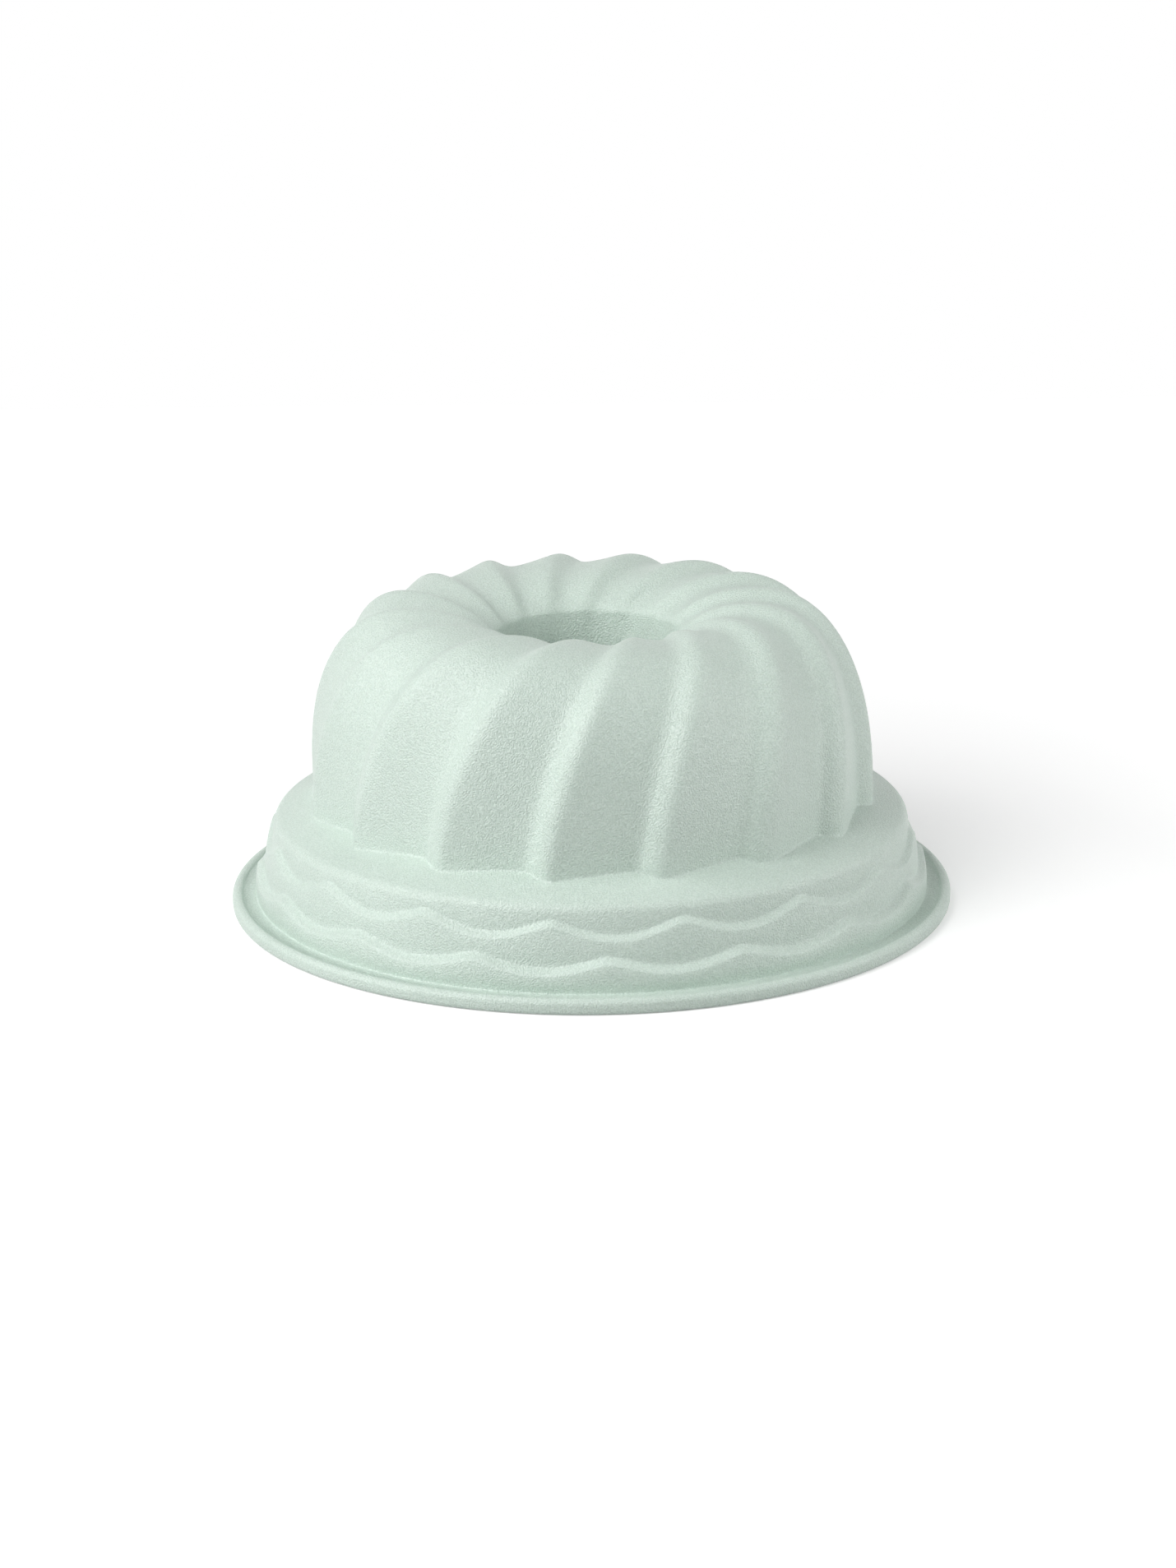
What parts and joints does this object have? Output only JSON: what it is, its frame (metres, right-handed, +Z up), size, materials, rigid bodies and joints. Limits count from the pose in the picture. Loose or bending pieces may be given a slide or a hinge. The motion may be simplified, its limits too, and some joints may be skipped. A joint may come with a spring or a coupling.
{
  "type": "ring cake pan",
  "caption": "Round ring cake pan in soft pale green silicone: swirled flutes over a stepped skirt with wavy ledges, open centre tube, beaded rim stiffened by a steel ring.",
  "frame": {"origin": "on the axis of the pan, at the foot of the rim that it stands on", "axes": "+Z up along the axis towards the crown, -Y towards the front as pictured, +X to the right"},
  "size_m": [0.24, 0.24, 0.1021],
  "materials": {
    "silicone": "matte pale mint green silicone with a fine leathery grain",
    "steel": "drawn stainless wire, satin"
  },
  "bodies": {
    "root": {"silicone_moulding": "silicone", "rim_ring": "steel"}
  },
  "joints": []
}
